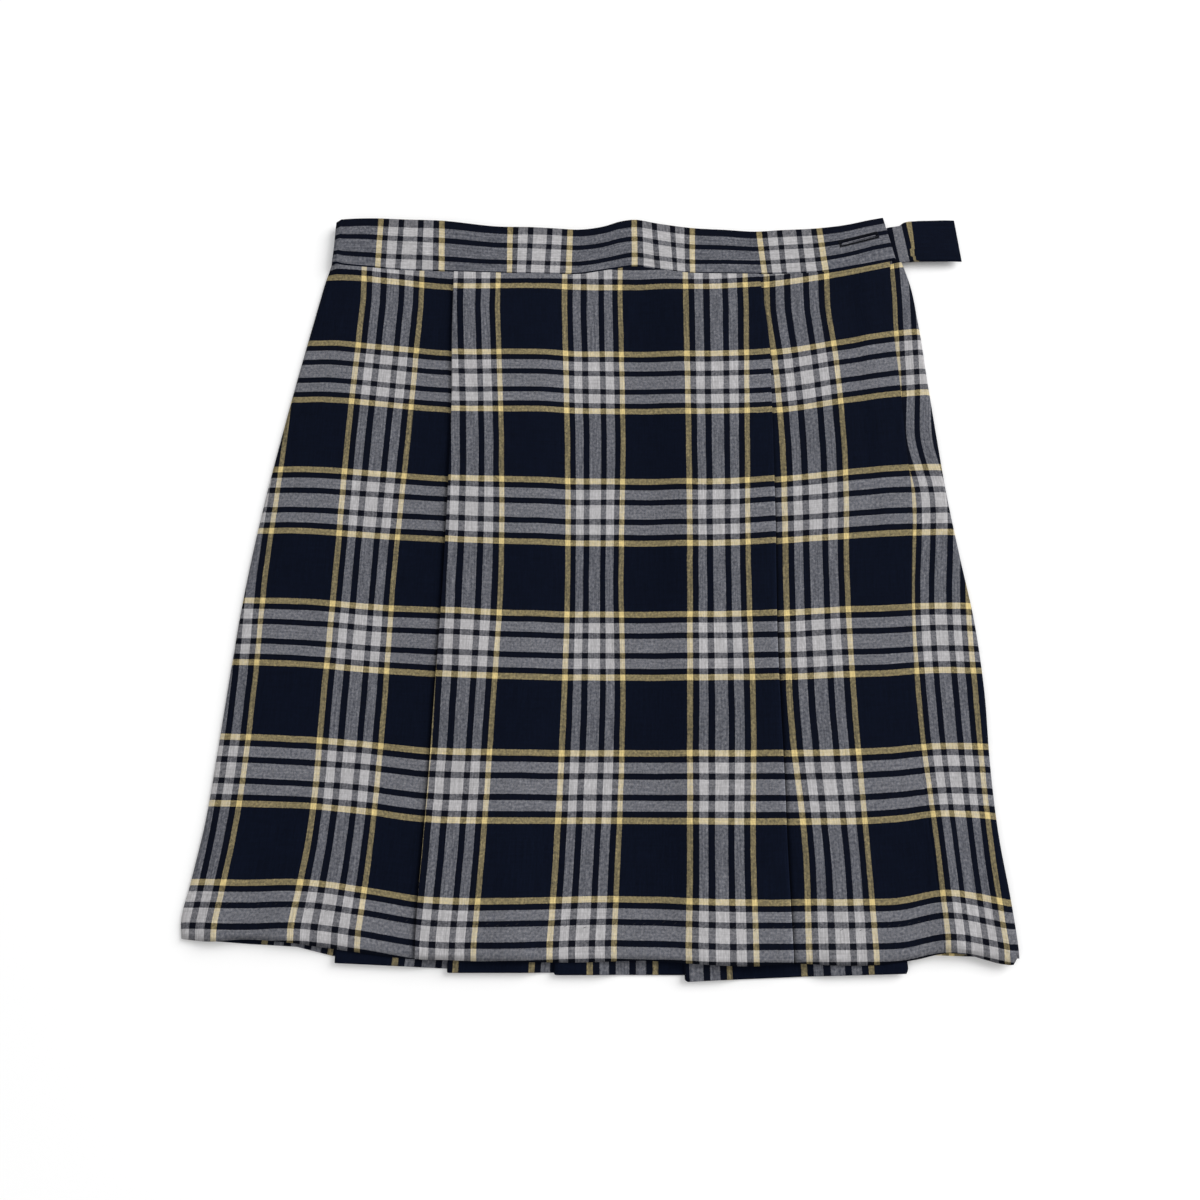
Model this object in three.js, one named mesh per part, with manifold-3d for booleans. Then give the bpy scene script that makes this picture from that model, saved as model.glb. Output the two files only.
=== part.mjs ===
// A pleated plaid skirt laid flat, front up and hem towards -Y. Millimetres, +Z up.
// Two panels, a folded waistband with a buttonhole and a free tab, and the button under the tab.
import * as THREE from "three";
import { mergeVertices } from "three/addons/utils/BufferGeometryUtils.js";
import Module from "manifold-3d";

const wasm = await Module();
wasm.setup();

const { lerp, clamp, smoothstep } = THREE.MathUtils;

// Cloth and plies
const CLOTH = 1.0; // thickness of the skirt cloth
const AIR = 0.3; // air between two plies and at each seam
const PLY = CLOTH + AIR; // rise from one ply to the next
const STACK = 3; // plies in a pleat
const BACK_GROUND = CLOTH / 2; // middle of the ply that lies on the surface
const FRONT_GROUND = BACK_GROUND + STACK * PLY; // middle of the front's lowest ply
const SIDE_GROUND = BACK_GROUND + PLY; // middle of the front's edge over the left side seam
const FOLD_RADIUS = PLY / 2; // middle of the cloth in a pleat's fold
const FOLD_STEPS = 4; // straight steps in a half turn of cloth
const STEPS = { short: 2, curve: 3, rise: 4, wide: 5 }; // straight steps in a run of cloth

// Pleats of the front: how far the hidden plies reach under the centre panel
const PLEAT_DEPTH = { waist: 51.5, hem: 43.3 };
const FRONT_DROP = 26; // length over which the centre panel sinks between its pleats
const SIDE_RISE = 24; // length over which the front rises from its left side seam

// Opening in the right side seam
const LAP = 10; // overlap of the front over the back's edge
const LAP_RISE = { start: 14, end: 4 }; // where the front rises on to the underlap, beside the lap
const LAP_END = 0.36; // share of the length where the underlap starts to narrow
const PLACKET_END = 0.4; // share of the length where the opening closes
const SEAM_START = 0.46; // share of the length where both edges lie level

// Waistband
const BAND = 2.4; // folded strip with its stiffening
const BAND_BACK = BAND / 2; // middle of the run that lies on the surface
const BAND_FRONT = 5.7; // middle of the run on top
const BAND_EDGE = 0.7; // share of the thickness at the strip's two long edges
const BAND_EDGE_WIDTH = 0.07; // share of the strip's width where it thins
const BAND_TURN_STEPS = 6; // straight steps in the strip's half turn round the left side
const SEAM_REACH = 8; // how far to each side the waist seam looks for the band's edge

// Buttonhole and button
const SLIT = { x: 157.8, y: 224.0, length: 21, width: 1.0, turn: 15 };
const BUTTON = { x: 203, y: 223.8, radius: 10, height: 2.8 };
const BUTTON_RIM = { width: 2.2, slope: 1.2, lip: 0.4, step: 0.1 }; // raised round the dish
const BUTTON_DISH = 0.7; // depth inside the rim
const BUTTON_EDGE = { width: 0.8, corner: 0.3, drop: 0.4, side: 1.1 }; // rounding of the outer edge
const BUTTON_HOLE = { radius: 0.9, spread: 1.9, count: 4, sides: 12 };
const BUTTON_SIDES = 48;
const MERGE_DISTANCE = 1e-4; // points this close count as one

// Middle of the laid skirt's outline, which becomes the origin
const MIDDLE = { x: -0.7, y: 15.8 };

// Outline and fold lines: share of the length from waist to hem, and the distances across
const OUTLINE = [
  { share: 0.0, leftSide: -163.6, leftPleat: -88.1, rightPleat: 95.8, sideSeam: 174.8, rightSide: 182.6 },
  { share: 0.1, leftSide: -171.8, leftPleat: -88.0, rightPleat: 100.2, sideSeam: 174.3, rightSide: 189.3 },
  { share: 0.2, leftSide: -179.8, leftPleat: -87.0, rightPleat: 100.6, sideSeam: 173.4, rightSide: 193.8 },
  { share: 0.3, leftSide: -187.3, leftPleat: -87.2, rightPleat: 100.5, sideSeam: 176.2, rightSide: 197.3 },
  { share: 0.36, leftSide: -191.6, leftPleat: -87.6, rightPleat: 100.3, sideSeam: 178.9, rightSide: 199.6 },
  { share: 0.4, leftSide: -194.2, leftPleat: -87.9, rightPleat: 100.1, sideSeam: 178.6, rightSide: 201.6 },
  { share: 0.46, leftSide: -197.8, leftPleat: -88.4, rightPleat: 99.6, sideSeam: 177.0, rightSide: 204.9 },
  { share: 0.55, leftSide: -202.2, leftPleat: -89.6, rightPleat: 98.9, sideSeam: 174.8, rightSide: 210.1 },
  { share: 0.65, leftSide: -205.9, leftPleat: -91.3, rightPleat: 99.2, sideSeam: 174.1, rightSide: 212.8 },
  { share: 0.75, leftSide: -209.3, leftPleat: -92.7, rightPleat: 99.9, sideSeam: 174.8, rightSide: 212.8 },
  { share: 0.85, leftSide: -213.2, leftPleat: -94.7, rightPleat: 100.2, sideSeam: 177.2, rightSide: 214.6 },
  { share: 0.93, leftSide: -218.5, leftPleat: -96.4, rightPleat: 100.8, sideSeam: 179.5, rightSide: 218.3 },
  { share: 0.98, leftSide: -221.8, leftPleat: -96.9, rightPleat: 101.2, sideSeam: 180.1, rightSide: 220.0 },
  { share: 1.0, leftSide: -221.0, leftPleat: -96.9, rightPleat: 101.3, sideSeam: 180.2, rightSide: 220.4 },
];

// Lower edge of the front, and of the back where it comes round the right side
const HEM_LINE = [
  { x: -221, y: -184.0 },
  { x: -207, y: -186.8 },
  { x: -186, y: -185.5 },
  { x: -164, y: -186.8 },
  { x: -146, y: -189.9 },
  { x: -127, y: -193.1 },
  { x: -97, y: -197.3 },
  { x: -66, y: -197.6 },
  { x: -47, y: -196.0 },
  { x: -10, y: -196.4 },
  { x: 25, y: -195.5 },
  { x: 46, y: -198.1 },
  { x: 81, y: -198.2 },
  { x: 102, y: -197.0 },
  { x: 124, y: -197.9 },
  { x: 144, y: -197.7 },
  { x: 165, y: -195.3 },
  { x: 182, y: -192.6 },
  { x: 192, y: -193.2 },
  { x: 202, y: -196.0 },
  { x: 211, y: -198.1 },
  { x: 217, y: -197.2 },
  { x: 220.4, y: -193.6 },
];

// Pleats of the back, seen from inside: the edge of the top ply, how deep the plies under it are,
// the side that the edge looks to (-1 left, 1 right), and the hem's height on both sides of the edge
const BACK_PLEATS = [
  { waistX: -125, hemX: -138.8, waistDepth: 44, hemDepth: 37.5, looks: -1, hemLeft: -196.6, hemRight: -197.4 },
  { waistX: -71, hemX: -79.6, waistDepth: 44, hemDepth: 37.7, looks: -1, hemLeft: -199.1, hemRight: -201.7 },
  { waistX: -17, hemX: -23.4, waistDepth: 30, hemDepth: 21.7, looks: -1, hemLeft: -202.1, hemRight: -202.1 },
  { waistX: 24, hemX: 45.9, waistDepth: 26, hemDepth: 17.4, looks: -1, hemLeft: -202.6, hemRight: -206.4 },
  { waistX: 130, hemX: 161.0, waistDepth: 46, hemDepth: 40.0, looks: 1, hemLeft: -201.6, hemRight: -191.0 },
];
const BACK_LEFT_HEM = { x: -185, y: -187.2 }; // where the back starts to show under the front's hem
const BACK_DROP = { waist: 7.5, hem: 13 }; // length over which a back pleat's top ply sinks

// Waistband, upper and lower edge, from the front end to the left side
const FRONT_RUN = [
  { topX: 172.6, topY: 238.0, lowX: 178.9, lowY: 210.5 },
  { topX: 150, topY: 233.5, lowX: 154, lowY: 205.5 },
  { topX: 132, topY: 230.8, lowX: 134.6, lowY: 202.0 },
  { topX: 94.5, topY: 228.8, lowX: 97.3, lowY: 200.5 },
  { topX: 57, topY: 230.8, lowX: 56.5, lowY: 201.2 },
  { topX: 34, topY: 234.9, lowX: 36, lowY: 204.0 },
  { topX: 20.3, topY: 237.3, lowX: 20.2, lowY: 206.5 },
  { topX: 3.3, topY: 232.8, lowX: 3, lowY: 204.0 },
  { topX: -12, topY: 230.5, lowX: -14, lowY: 201.3 },
  { topX: -27, topY: 230.5, lowX: -30, lowY: 201.6 },
  { topX: -60.6, topY: 232.2, lowX: -60, lowY: 203.2 },
  { topX: -97, topY: 236.9, lowX: -96, lowY: 205.2 },
  { topX: -122, topY: 237.6, lowX: -124, lowY: 205.9 },
  { topX: -150, topY: 237.5, lowX: -151, lowY: 206.5 },
];
const LEFT_TURN = { topX: -160.6, topY: 234.8, lowX: -162.7, lowY: 208.2 };

// Waistband from the left side along the back to the end of the tab, with the middle's height
const BACK_RUN = [
  { topX: -150, topY: 235.8, lowX: -151, lowY: 206.4, z: BAND_BACK },
  { topX: -96, topY: 235.4, lowX: -96, lowY: 205.0, z: BAND_BACK },
  { topX: -60, topY: 231.0, lowX: -60, lowY: 203.0, z: BAND_BACK },
  { topX: -14, topY: 229.3, lowX: -14, lowY: 201.1, z: BAND_BACK },
  { topX: 50, topY: 229.3, lowX: 50, lowY: 200.9, z: BAND_BACK },
  { topX: 97, topY: 227.6, lowX: 97, lowY: 200.3, z: BAND_BACK },
  { topX: 135, topY: 228.5, lowX: 135, lowY: 200.3, z: BAND_BACK },
  { topX: 157, topY: 229.0, lowX: 157, lowY: 203.6, z: BAND_BACK },
  { topX: 166, topY: 231.0, lowX: 166, lowY: 205.6, z: BAND_BACK + 0.1 },
  { topX: 177.6, topY: 234.3, lowX: 178.5, lowY: 208.9, z: 2.6 },
  { topX: 183.4, topY: 234.9, lowX: 184.6, lowY: 210.0, z: 3.4 },
  { topX: 185.6, topY: 236.7, lowX: 187.0, lowY: 210.1, z: 3.7 },
  { topX: 191, topY: 237.2, lowX: 191.5, lowY: 210.1, z: 4.3 },
  { topX: 202, topY: 237.6, lowX: 203, lowY: 210.2, z: 4.35 },
  { topX: 211, topY: 237.9, lowX: 213, lowY: 210.3, z: 4.3 },
  { topX: 215.6, topY: 238.0, lowX: 218.3, lowY: 210.3, z: 3.9 },
];

const COLOURS = {
  cloth: { color: 0x1d2533, roughness: 0.92, metalness: 0 },
  band: { color: 0x333a48, roughness: 0.92, metalness: 0 },
  button: { color: 0x141823, roughness: 0.45, metalness: 0 },
};

// Value of column `to` at a place in column `from`, straight between the table's rows.
function readTable(table, from, to, place) {
  const rising = [...table].sort((a, b) => a[from] - b[from]);
  const next = rising.findIndex((row) => row[from] >= place);
  if (next === 0) return rising[0][to];
  if (next < 0) return rising[rising.length - 1][to];
  const [low, high] = [rising[next - 1], rising[next]];
  return lerp(low[to], high[to], (place - low[from]) / (high[from] - low[from]));
}

// The path of a cloth seen from its hem: a polyline in X and Z that remembers each point's hem height.
class ClothPath {
  constructor(x, z, hem) {
    this.points = [{ x, z, hem }];
  }
  get end() {
    return this.points[this.points.length - 1];
  }
  // A straight or gently curved run in a number of steps.
  run(x, z, hem, steps, curved = false) {
    const from = this.end;
    for (let i = 1; i <= steps; i++) {
      const share = i / steps;
      this.points.push({
        x: lerp(from.x, x, share),
        z: lerp(from.z, z, curved ? smoothstep(share, 0, 1) : share),
        hem: lerp(from.hem, hem, share),
      });
    }
    return this;
  }
  // A half turn of cloth that bulges left (-1) or right (1) and ends at height z.
  turn(bulge, z, hem) {
    const from = this.end;
    const middle = (from.z + z) / 2;
    const radius = (z - from.z) / 2;
    for (let i = 1; i <= FOLD_STEPS; i++) {
      const angle = (Math.PI * i) / FOLD_STEPS;
      this.points.push({
        x: from.x + bulge * Math.abs(radius) * Math.sin(angle),
        z: middle - radius * Math.cos(angle),
        hem: lerp(from.hem, hem, i / FOLD_STEPS),
      });
    }
    return this;
  }
  // A pleat: three plies, the top one ending in a fold at `edge` that looks left (-1) or right (1).
  pleat({ edge, depth, looks, ground, hemLeft, hemRight, drop, runSteps, dropSteps }) {
    const reach = FOLD_RADIUS + CLOTH / 2;
    const top = ground + 2 * PLY;
    const middle = ground + PLY;
    const face = edge - looks * reach;
    const inner = edge - looks * (depth - reach);
    const hemMiddle = (hemLeft + hemRight) / 2;
    if (looks < 0) {
      this.run(inner, ground, hemLeft, runSteps);
      this.turn(1, middle, hemMiddle);
      this.run(face, middle, hemMiddle, STEPS.short);
      this.turn(-1, top, hemRight);
      this.run(inner + reach, top, hemRight, dropSteps);
      this.run(inner + reach + drop, ground, hemRight, dropSteps, true);
    } else {
      this.run(inner - reach - drop, ground, hemLeft, runSteps);
      this.run(inner - reach, top, hemLeft, dropSteps, true);
      this.run(face, top, hemLeft, dropSteps);
      this.turn(1, middle, hemMiddle);
      this.run(inner, middle, hemMiddle, STEPS.short);
      this.turn(-1, ground, hemRight);
    }
    return this;
  }
}

// The two faces of a cloth, half its thickness to each side of its path.
function facesOf(path, thickness) {
  return path.map((point, i) => {
    const before = path[Math.max(i - 1, 0)];
    const after = path[Math.min(i + 1, path.length - 1)];
    const length = Math.hypot(after.x - before.x, after.z - before.z);
    const across = { x: -(after.z - before.z) / length, z: (after.x - before.x) / length };
    return [1, -1].map((side) => {
      const offset = (side * thickness) / 2;
      return new THREE.Vector3(point.x + across.x * offset, point.y, point.z + across.z * offset);
    });
  });
}

// A closed wall through its rows, each row being the list of a path's two face points.
function wallGeometry(rows) {
  const width = rows[0].length;
  const positions = rows.flatMap((row) => row.flatMap((pair) => pair.flatMap((point) => point.toArray())));
  const at = (row, column, side) => (row * width + column) * 2 + side;
  const index = [];
  const quad = (a, b, c, d) => index.push(a, b, c, a, c, d);
  for (let row = 0; row < rows.length - 1; row++) {
    for (let column = 0; column < width - 1; column++) {
      quad(at(row, column, 0), at(row + 1, column, 0), at(row + 1, column + 1, 0), at(row, column + 1, 0));
      quad(at(row, column, 1), at(row, column + 1, 1), at(row + 1, column + 1, 1), at(row + 1, column, 1));
    }
    const last = width - 1;
    quad(at(row, 0, 0), at(row, 0, 1), at(row + 1, 0, 1), at(row + 1, 0, 0));
    quad(at(row, last, 0), at(row + 1, last, 0), at(row + 1, last, 1), at(row, last, 1));
  }
  for (let column = 0; column < width - 1; column++) {
    const end = rows.length - 1;
    quad(at(0, column, 0), at(0, column + 1, 0), at(0, column + 1, 1), at(0, column, 1));
    quad(at(end, column, 0), at(end, column, 1), at(end, column + 1, 1), at(end, column + 1, 0));
  }
  const geometry = new THREE.BufferGeometry();
  geometry.setAttribute("position", new THREE.Float32BufferAttribute(positions, 3));
  geometry.setIndex(index);
  return geometry;
}

// A panel: its path at every row of the outline, hung between a waist line and a hem.
function panelGeometry(pathAt, waistAt) {
  const waist = pathAt(OUTLINE[0]).points;
  const hem = pathAt(OUTLINE[OUTLINE.length - 1]).points;
  const rows = OUTLINE.map((outline) => {
    const path = pathAt(outline).points.map((point, i) => ({
      ...point,
      y: lerp(waistAt(waist[i].x), hem[i].hem, outline.share),
    }));
    return facesOf(path, CLOTH);
  });
  return wallGeometry(rows);
}

const frontHem = (x) => readTable(HEM_LINE, "x", "y", x);

// The waist seam keeps under the band's lowest point close by, so that no straight step cuts the band.
function seamUnder(band, x) {
  const nearby = [-SEAM_REACH, 0, SEAM_REACH].map((step) => readTable(band, "lowX", "lowY", x + step));
  return Math.min(...nearby) - AIR;
}
const frontWaist = (x) => seamUnder([...FRONT_RUN, LEFT_TURN], x);
const backWaist = (x) => Math.min(frontWaist(x), seamUnder([LEFT_TURN, ...BACK_RUN], x));

// The front from its left side seam to its lapped right edge.
function frontPath(outline) {
  const { share, leftSide, leftPleat, rightPleat, sideSeam } = outline;
  const depth = lerp(PLEAT_DEPTH.waist, PLEAT_DEPTH.hem, share);
  const lifted = FRONT_GROUND + PLY * (1 - smoothstep(share, PLACKET_END, SEAM_START));
  const path = new ClothPath(leftSide, SIDE_GROUND, 0);
  path.run(leftSide + SIDE_RISE, FRONT_GROUND, 0, STEPS.rise, true);
  path.run(leftPleat, FRONT_GROUND, 0, STEPS.wide);
  const plies = { depth, ground: FRONT_GROUND, hemLeft: 0, hemRight: 0, drop: FRONT_DROP };
  const pleat = { ...plies, runSteps: STEPS.short, dropSteps: STEPS.curve };
  path.pleat({ ...pleat, edge: leftPleat, looks: -1 });
  path.pleat({ ...pleat, edge: rightPleat, looks: 1 });
  path.run(rightPleat, FRONT_GROUND, 0, STEPS.short);
  path.run(sideSeam - LAP - LAP_RISE.start, FRONT_GROUND, 0, STEPS.rise);
  path.run(sideSeam - LAP - LAP_RISE.end, lifted, 0, STEPS.short, true);
  path.run(sideSeam, lifted, 0, STEPS.short);
  path.points.forEach((point) => {
    point.hem = frontHem(point.x);
  });
  return path;
}

// The back from its left side seam over the surface, round the right side and up to the right side seam.
function backPath(outline) {
  const { share, leftSide, sideSeam, rightSide } = outline;
  const path = new ClothPath(leftSide, BACK_GROUND, frontHem(leftSide));
  const start = lerp(leftSide, BACK_PLEATS[0].waistX, 0.5);
  path.run(lerp(start, BACK_LEFT_HEM.x, share), BACK_GROUND, BACK_LEFT_HEM.y, STEPS.short);
  for (const pleat of BACK_PLEATS) {
    path.pleat({
      edge: lerp(pleat.waistX, pleat.hemX, share),
      depth: lerp(pleat.waistDepth, pleat.hemDepth, share),
      looks: pleat.looks,
      ground: BACK_GROUND,
      hemLeft: pleat.hemLeft,
      hemRight: pleat.hemRight,
      drop: lerp(BACK_DROP.waist, BACK_DROP.hem, share),
      runSteps: 1,
      dropSteps: STEPS.short,
    });
  }
  const sideReach = (FRONT_GROUND - BACK_GROUND) / 2 + CLOTH / 2;
  const turnX = rightSide - sideReach;
  const underlap = LAP * (1 - smoothstep(share, LAP_END, PLACKET_END));
  const edge = sideSeam + AIR - (underlap > 0 ? underlap + AIR : 0);
  path.run(turnX, BACK_GROUND, frontHem(rightSide), STEPS.rise);
  path.turn(1, FRONT_GROUND, frontHem(rightSide));
  const lifted = path.points.length;
  path.run(edge, FRONT_GROUND, 0, STEPS.wide);
  path.points.slice(lifted).forEach((point) => {
    point.hem = frontHem(point.x);
  });
  return path;
}

// The waistband strip, from its front end round the left side to the end of the tab.
function bandGeometry() {
  const rowAt = (share) => {
    const place = (row, z) => ({
      x: lerp(row.topX, row.lowX, share),
      y: lerp(row.topY, row.lowY, share),
      z,
    });
    const turn = place(LEFT_TURN, 0);
    const radius = (BAND_FRONT - BAND_BACK) / 2;
    const turnX = turn.x + radius + BAND / 2;
    const half = Array.from({ length: BAND_TURN_STEPS + 1 }, (_, step) => {
      const angle = (Math.PI * step) / BAND_TURN_STEPS;
      return {
        x: turnX - radius * Math.sin(angle),
        y: turn.y,
        z: (BAND_FRONT + BAND_BACK) / 2 + radius * Math.cos(angle),
      };
    });
    const front = FRONT_RUN.map((row) => place(row, BAND_FRONT));
    const back = BACK_RUN.map((row) => place(row, row.z));
    const nearEdge = Math.min(share, 1 - share) / BAND_EDGE_WIDTH;
    const thickness = BAND * lerp(BAND_EDGE, 1, clamp(nearEdge, 0, 1));
    return facesOf([...front, ...half, ...back], thickness);
  };
  return wallGeometry([0, BAND_EDGE_WIDTH, 1 - BAND_EDGE_WIDTH, 1].map(rowAt));
}

// A closed geometry as a solid that can be cut.
function toSolid(geometry) {
  const bare = geometry.clone();
  bare.deleteAttribute("normal");
  bare.deleteAttribute("uv");
  const merged = mergeVertices(bare, MERGE_DISTANCE);
  const mesh = new wasm.Mesh({
    numProp: 3,
    vertProperties: merged.attributes.position.array,
    triVerts: new Uint32Array(merged.index.array),
  });
  return new wasm.Manifold(mesh);
}

function toGeometry(solid) {
  const { vertProperties, triVerts } = solid.getMesh();
  const geometry = new THREE.BufferGeometry();
  geometry.setAttribute("position", new THREE.BufferAttribute(vertProperties, 3));
  geometry.setIndex(new THREE.BufferAttribute(triVerts, 1));
  return geometry;
}

// The waistband with its buttonhole cut through the front run.
function cutBandGeometry() {
  const slit = new THREE.BoxGeometry(SLIT.length, SLIT.width, 2 * BAND);
  slit.rotateZ(THREE.MathUtils.degToRad(SLIT.turn));
  slit.translate(SLIT.x, SLIT.y, BAND_FRONT);
  return toGeometry(toSolid(bandGeometry()).subtract(toSolid(slit)));
}

// A flat four-hole button with a raised rim on the face that looks down.
function buttonGeometry() {
  const { radius, height } = BUTTON;
  const { width, corner, drop, side } = BUTTON_EDGE;
  const rim = radius - BUTTON_RIM.width;
  const profile = [
    [0, BUTTON_DISH],
    [rim - BUTTON_RIM.slope, BUTTON_DISH],
    [rim, BUTTON_RIM.step],
    [rim + BUTTON_RIM.lip, 0],
    [radius - width, 0],
    [radius - corner, drop],
    [radius, side],
    [radius, height - side],
    [radius - corner, height - drop],
    [radius - width, height],
    [0, height],
  ];
  const body = new THREE.LatheGeometry(
    profile.map(([x, y]) => new THREE.Vector2(x, y)),
    BUTTON_SIDES,
  );
  body.rotateX(Math.PI / 2);
  let solid = toSolid(body);
  const { count, sides, spread } = BUTTON_HOLE;
  const cutterLength = 3 * height; // clear of both faces
  for (let i = 0; i < count; i++) {
    const angle = (2 * Math.PI * (i + 0.5)) / count;
    const hole = new THREE.CylinderGeometry(BUTTON_HOLE.radius, BUTTON_HOLE.radius, cutterLength, sides);
    hole.rotateX(Math.PI / 2);
    hole.translate(spread * Math.cos(angle), spread * Math.sin(angle), 0);
    solid = solid.subtract(toSolid(hole));
  }
  return toGeometry(solid);
}

function named(name, geometry, finish) {
  const mesh = new THREE.Mesh(geometry, new THREE.MeshStandardMaterial(finish));
  mesh.name = name;
  return mesh;
}

const skirt = new THREE.Group();
skirt.position.set(-MIDDLE.x, -MIDDLE.y, 0);
skirt.add(named("front_panel", panelGeometry(frontPath, frontWaist), COLOURS.cloth));
skirt.add(named("back_panel", panelGeometry(backPath, backWaist), COLOURS.cloth));
skirt.add(named("waistband", cutBandGeometry(), COLOURS.band));

const button = named("button", buttonGeometry(), COLOURS.button);
button.position.set(BUTTON.x, BUTTON.y, 0);
skirt.add(button);

export default skirt;
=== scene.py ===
"""A pleated plaid skirt laid flat with its front up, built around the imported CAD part.

Lengths are in millimetres in the tables, with +X to the right across the front and +Y from hem to waist,
measured from the middle of the picture. Every mesh is brought into the part's frame, in metres, as it is
made.
"""

import math

import bmesh
import bpy
import numpy as np
from mathutils import Matrix, Vector, noise


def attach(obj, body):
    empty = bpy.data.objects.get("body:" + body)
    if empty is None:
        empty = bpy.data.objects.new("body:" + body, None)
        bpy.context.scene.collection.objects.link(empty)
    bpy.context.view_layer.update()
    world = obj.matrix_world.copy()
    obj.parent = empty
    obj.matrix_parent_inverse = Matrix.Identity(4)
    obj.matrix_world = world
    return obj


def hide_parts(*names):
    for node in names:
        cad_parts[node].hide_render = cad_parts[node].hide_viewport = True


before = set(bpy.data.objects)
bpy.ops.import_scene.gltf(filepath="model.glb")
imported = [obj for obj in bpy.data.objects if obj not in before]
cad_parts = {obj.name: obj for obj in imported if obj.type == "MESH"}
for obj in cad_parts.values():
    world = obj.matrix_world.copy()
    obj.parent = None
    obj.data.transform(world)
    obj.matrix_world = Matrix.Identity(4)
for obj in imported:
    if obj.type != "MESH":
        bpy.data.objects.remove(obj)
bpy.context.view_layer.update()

MM = 0.001
MIDDLE = Vector((-0.7, 15.8, 0.0))  # the part's origin in the tables' lengths

# Cloth and plies
CLOTH = 0.55  # thickness of the twill
PLY = 1.3  # rise from one ply to the next
BACK_GROUND = 0.5  # middle of the ply that lies on the surface
FRONT_GROUND = 4.4  # middle of the front's lowest ply
FOLD_RADIUS = PLY / 2
GROOVE = 0.7  # dip of the ply beside a pleat's fold
EDGE_ROLL = 0.31  # radius of a pressed hem or seam edge
PLEAT_DEPTH = (51.5, 43.3)  # hidden depth of the front's pleats at waist and hem
FRONT_DROP = 26  # distance over which a front pleat's top ply comes down again
LAP = 10  # overlap of the front over the back's edge
LAP_END = 0.36  # share of the length where the lap narrows
PLACKET_END = 0.4  # where the opening ends
SEAM_START = 0.46  # and from where the seam lies flat
LENGTH = 401  # from the waist seam to the hem at the middle
HEM_DEPTH = 24  # turned up inside along the hem
HEM_FIRST_ROW = 1.5  # where the turned-up cloth leaves the hem's fold
TUCK = 6  # cloth that goes up into the waistband
TUCK_FALL = 0.12  # how fast it goes down to the band's middle
SEAM_DITCH = 13  # length over which the plies close up towards the waistband
WAIST_FRONT = 6.3  # height of the front's cloth at the waist seam
WAIST_SIDE = 2.4  # and at the left side
SEAM_STACK = 0.1  # share of the plies' height that is left under the waistband
SIDE_TAKE_IN = 0.9  # the left side goes in under the waistband
SIDE_TAKEN = (-163, -158)  # from where to where across
SURFACE_RIPPLE = 0.22  # height of the cloth's small unevenness

# Waistband
BAND = 2.1  # the folded, stiffened strip
BAND_BACK = 1.2  # height of its middle along the back
BAND_FRONT = 5.7  # and along the front

# The sett, in millimetres of cloth: each stripe's yarn, and its width in the warp and in the weft
SETT = [
    ("yellow", 3.0, 3.15),
    ("ink", 3.5, 3.4),
    ("pale", 5.1, 5.8),
    ("ink", 3.6, 3.55),
    ("pale", 7.3, 8.25),
    ("ink", 3.6, 3.55),
    ("pale", 5.1, 5.8),
    ("ink", 3.5, 3.4),
    ("yellow", 3.0, 3.15),
    ("navy", 36.9, 38.75),
]
WARP_REPEAT = sum(warp for _, warp, _ in SETT)
WEFT_REPEAT = sum(weft for _, _, weft in SETT)
WARP_YELLOWS = (1.5, 36.2)  # middles of the two yellow stripes in a repeat
WEFT_YELLOWS = (1.6, 38.5)

# Square roots of the yarns' reflected light, in which two crossing yarns mix evenly
YARNS = {
    "yellow": (0.80, 0.710, 0.475),
    "ink": (0.055, 0.062, 0.090),
    "pale": (0.650, 0.643, 0.650),
    "navy": (0.050, 0.066, 0.108),
}

# Outline and fold lines: share of the length from waist to hem, and the distances across
OUTLINE_SHARES = [0, 0.03, 0.1, 0.2, 0.3, 0.36, 0.4, 0.46, 0.55, 0.65, 0.75, 0.85, 0.93, 0.98, 1]
OUTLINE = {
    "left_side": [
        -163.6, -166.1, -171.8, -179.8, -187.3, -191.6, -194.2, -197.8,
        -202.2, -205.9, -209.3, -213.2, -218.5, -221.8, -221.0,
    ],
    "left_pleat": [
        -88.1, -88.1, -88.0, -87.0, -87.2, -87.6, -87.9, -88.4,
        -89.6, -91.3, -92.7, -94.7, -96.4, -96.9, -96.9,
    ],
    "right_pleat": [
        95.8, 97.4, 100.2, 100.6, 100.5, 100.3, 100.1, 99.6,
        98.9, 99.2, 99.9, 100.2, 100.8, 101.2, 101.3,
    ],
    "side_seam": [
        174.8, 174.7, 174.3, 176.3, 177.5, 178.9, 178.6, 177.0,
        174.8, 174.1, 174.8, 177.2, 179.5, 180.1, 180.2,
    ],
    "right_side": [
        182.8, 186.5, 190.4, 193.7, 197.3, 199.6, 201.6, 204.9,
        210.1, 212.8, 212.8, 214.6, 218.3, 220.0, 220.4,
    ],
}

# Lower edge of the front, and of the back where it comes round the right side
HEM_X = [
    -221, -207, -186, -164, -146, -127, -112, -97, -82, -66, -47, -10, 25, 46,
    81, 102, 124, 144, 165, 182, 192, 202, 211, 217, 220.4,
]
HEM_Y = [
    -184.6, -185.8, -184.8, -186.3, -188.8, -191.3, -193.4, -194.7, -195.0, -195.6, -196.0, -196.4, -195.5,
    -196.8, -198.2, -197.0, -197.9, -197.7, -195.1, -191.8, -192.4, -195.1, -197.3, -197.2, -194.4,
]

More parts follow.
